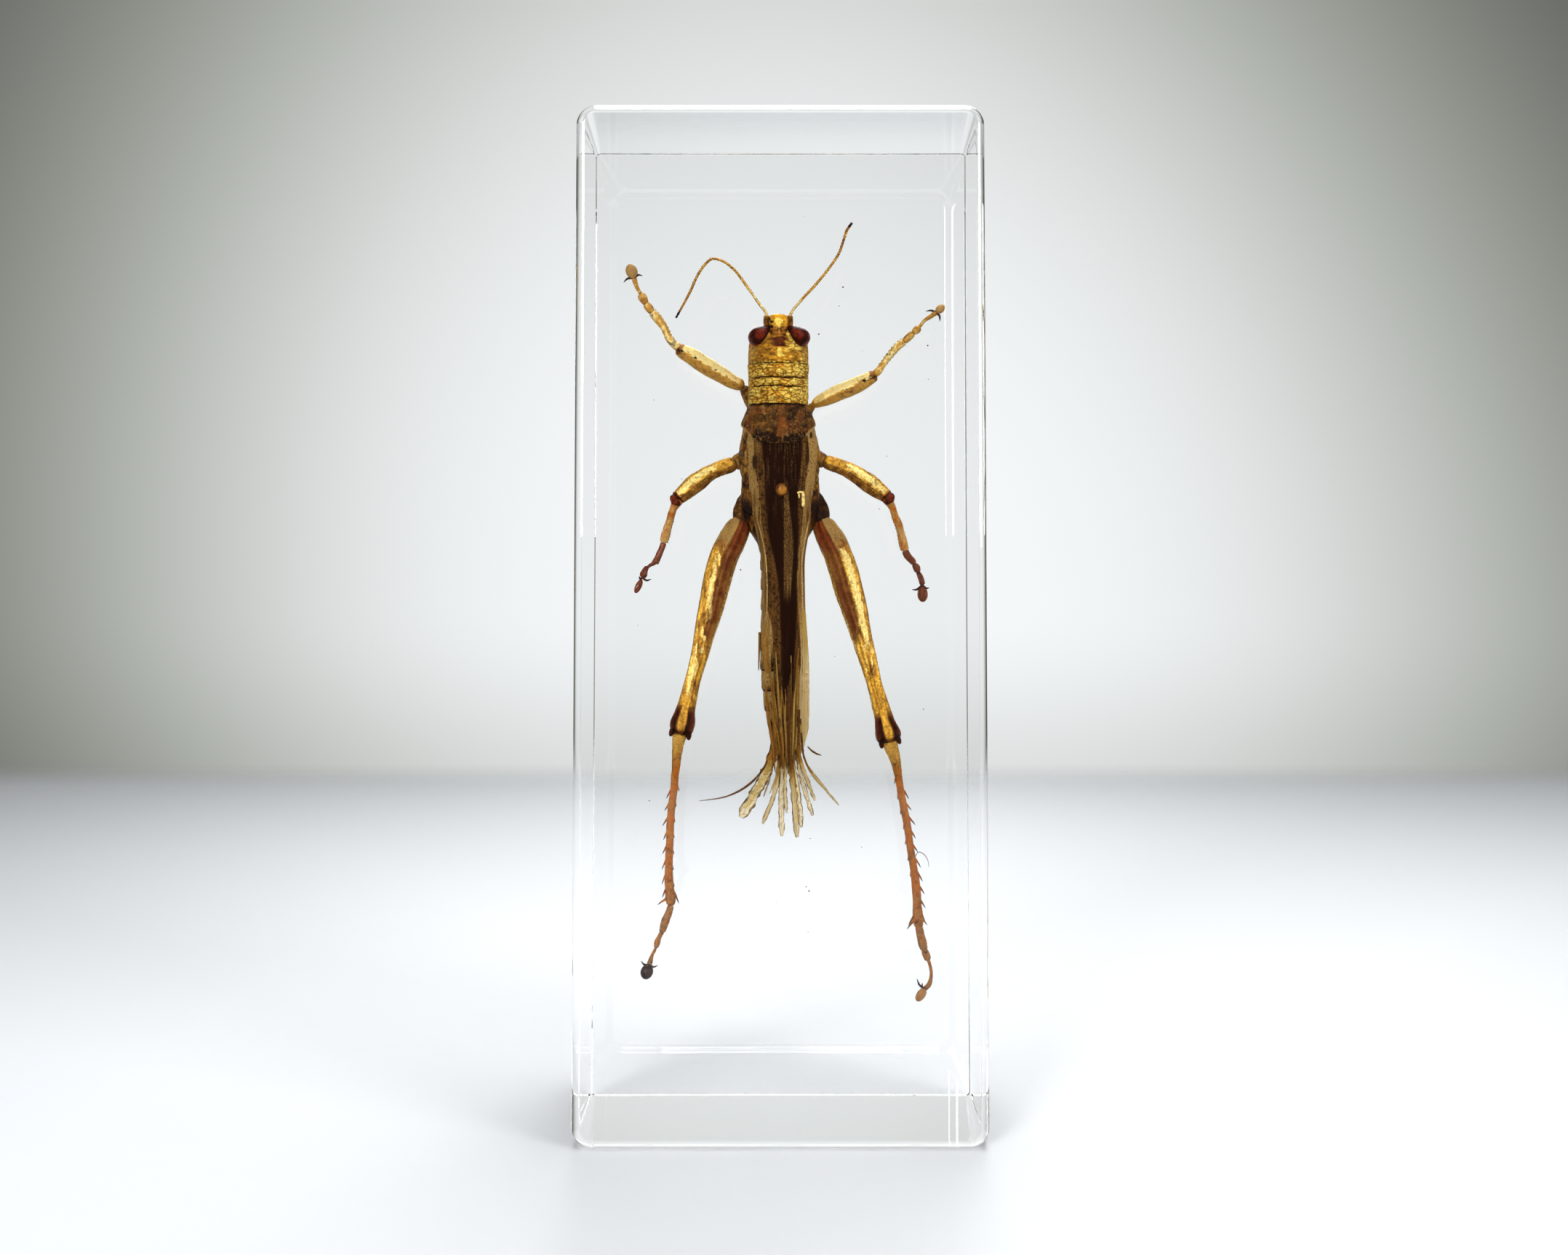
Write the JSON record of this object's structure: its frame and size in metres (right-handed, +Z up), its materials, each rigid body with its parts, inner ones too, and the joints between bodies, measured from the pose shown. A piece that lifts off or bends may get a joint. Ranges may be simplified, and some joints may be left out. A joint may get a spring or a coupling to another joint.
{
  "type": "insect in resin block",
  "caption": "Clear cast resin block standing on its flat base, with a dried long-legged grasshopper-like insect sealed upright inside it, its back to the front face.",
  "frame": {"origin": "middle of the base, on the surface that the block stands on", "axes": "+Z up along the block's height and towards the insect's head, -Y towards the front face that shows the insect's back, +X towards the right seen from the front"},
  "size_m": [0.0444, 0.0286, 0.111],
  "materials": {
    "clear_resin": "polished",
    "insect_shell": "satin",
    "insect_gold": "satin",
    "insect_leg": "gloss",
    "insect_shin": "gloss",
    "insect_wing": "satin",
    "insect_eye": "gloss",
    "insect_claw": "gloss",
    "trapped_air": "polished"
  },
  "bodies": {
    "root": {"resin_block": "clear_resin"}
  },
  "joints": []
}
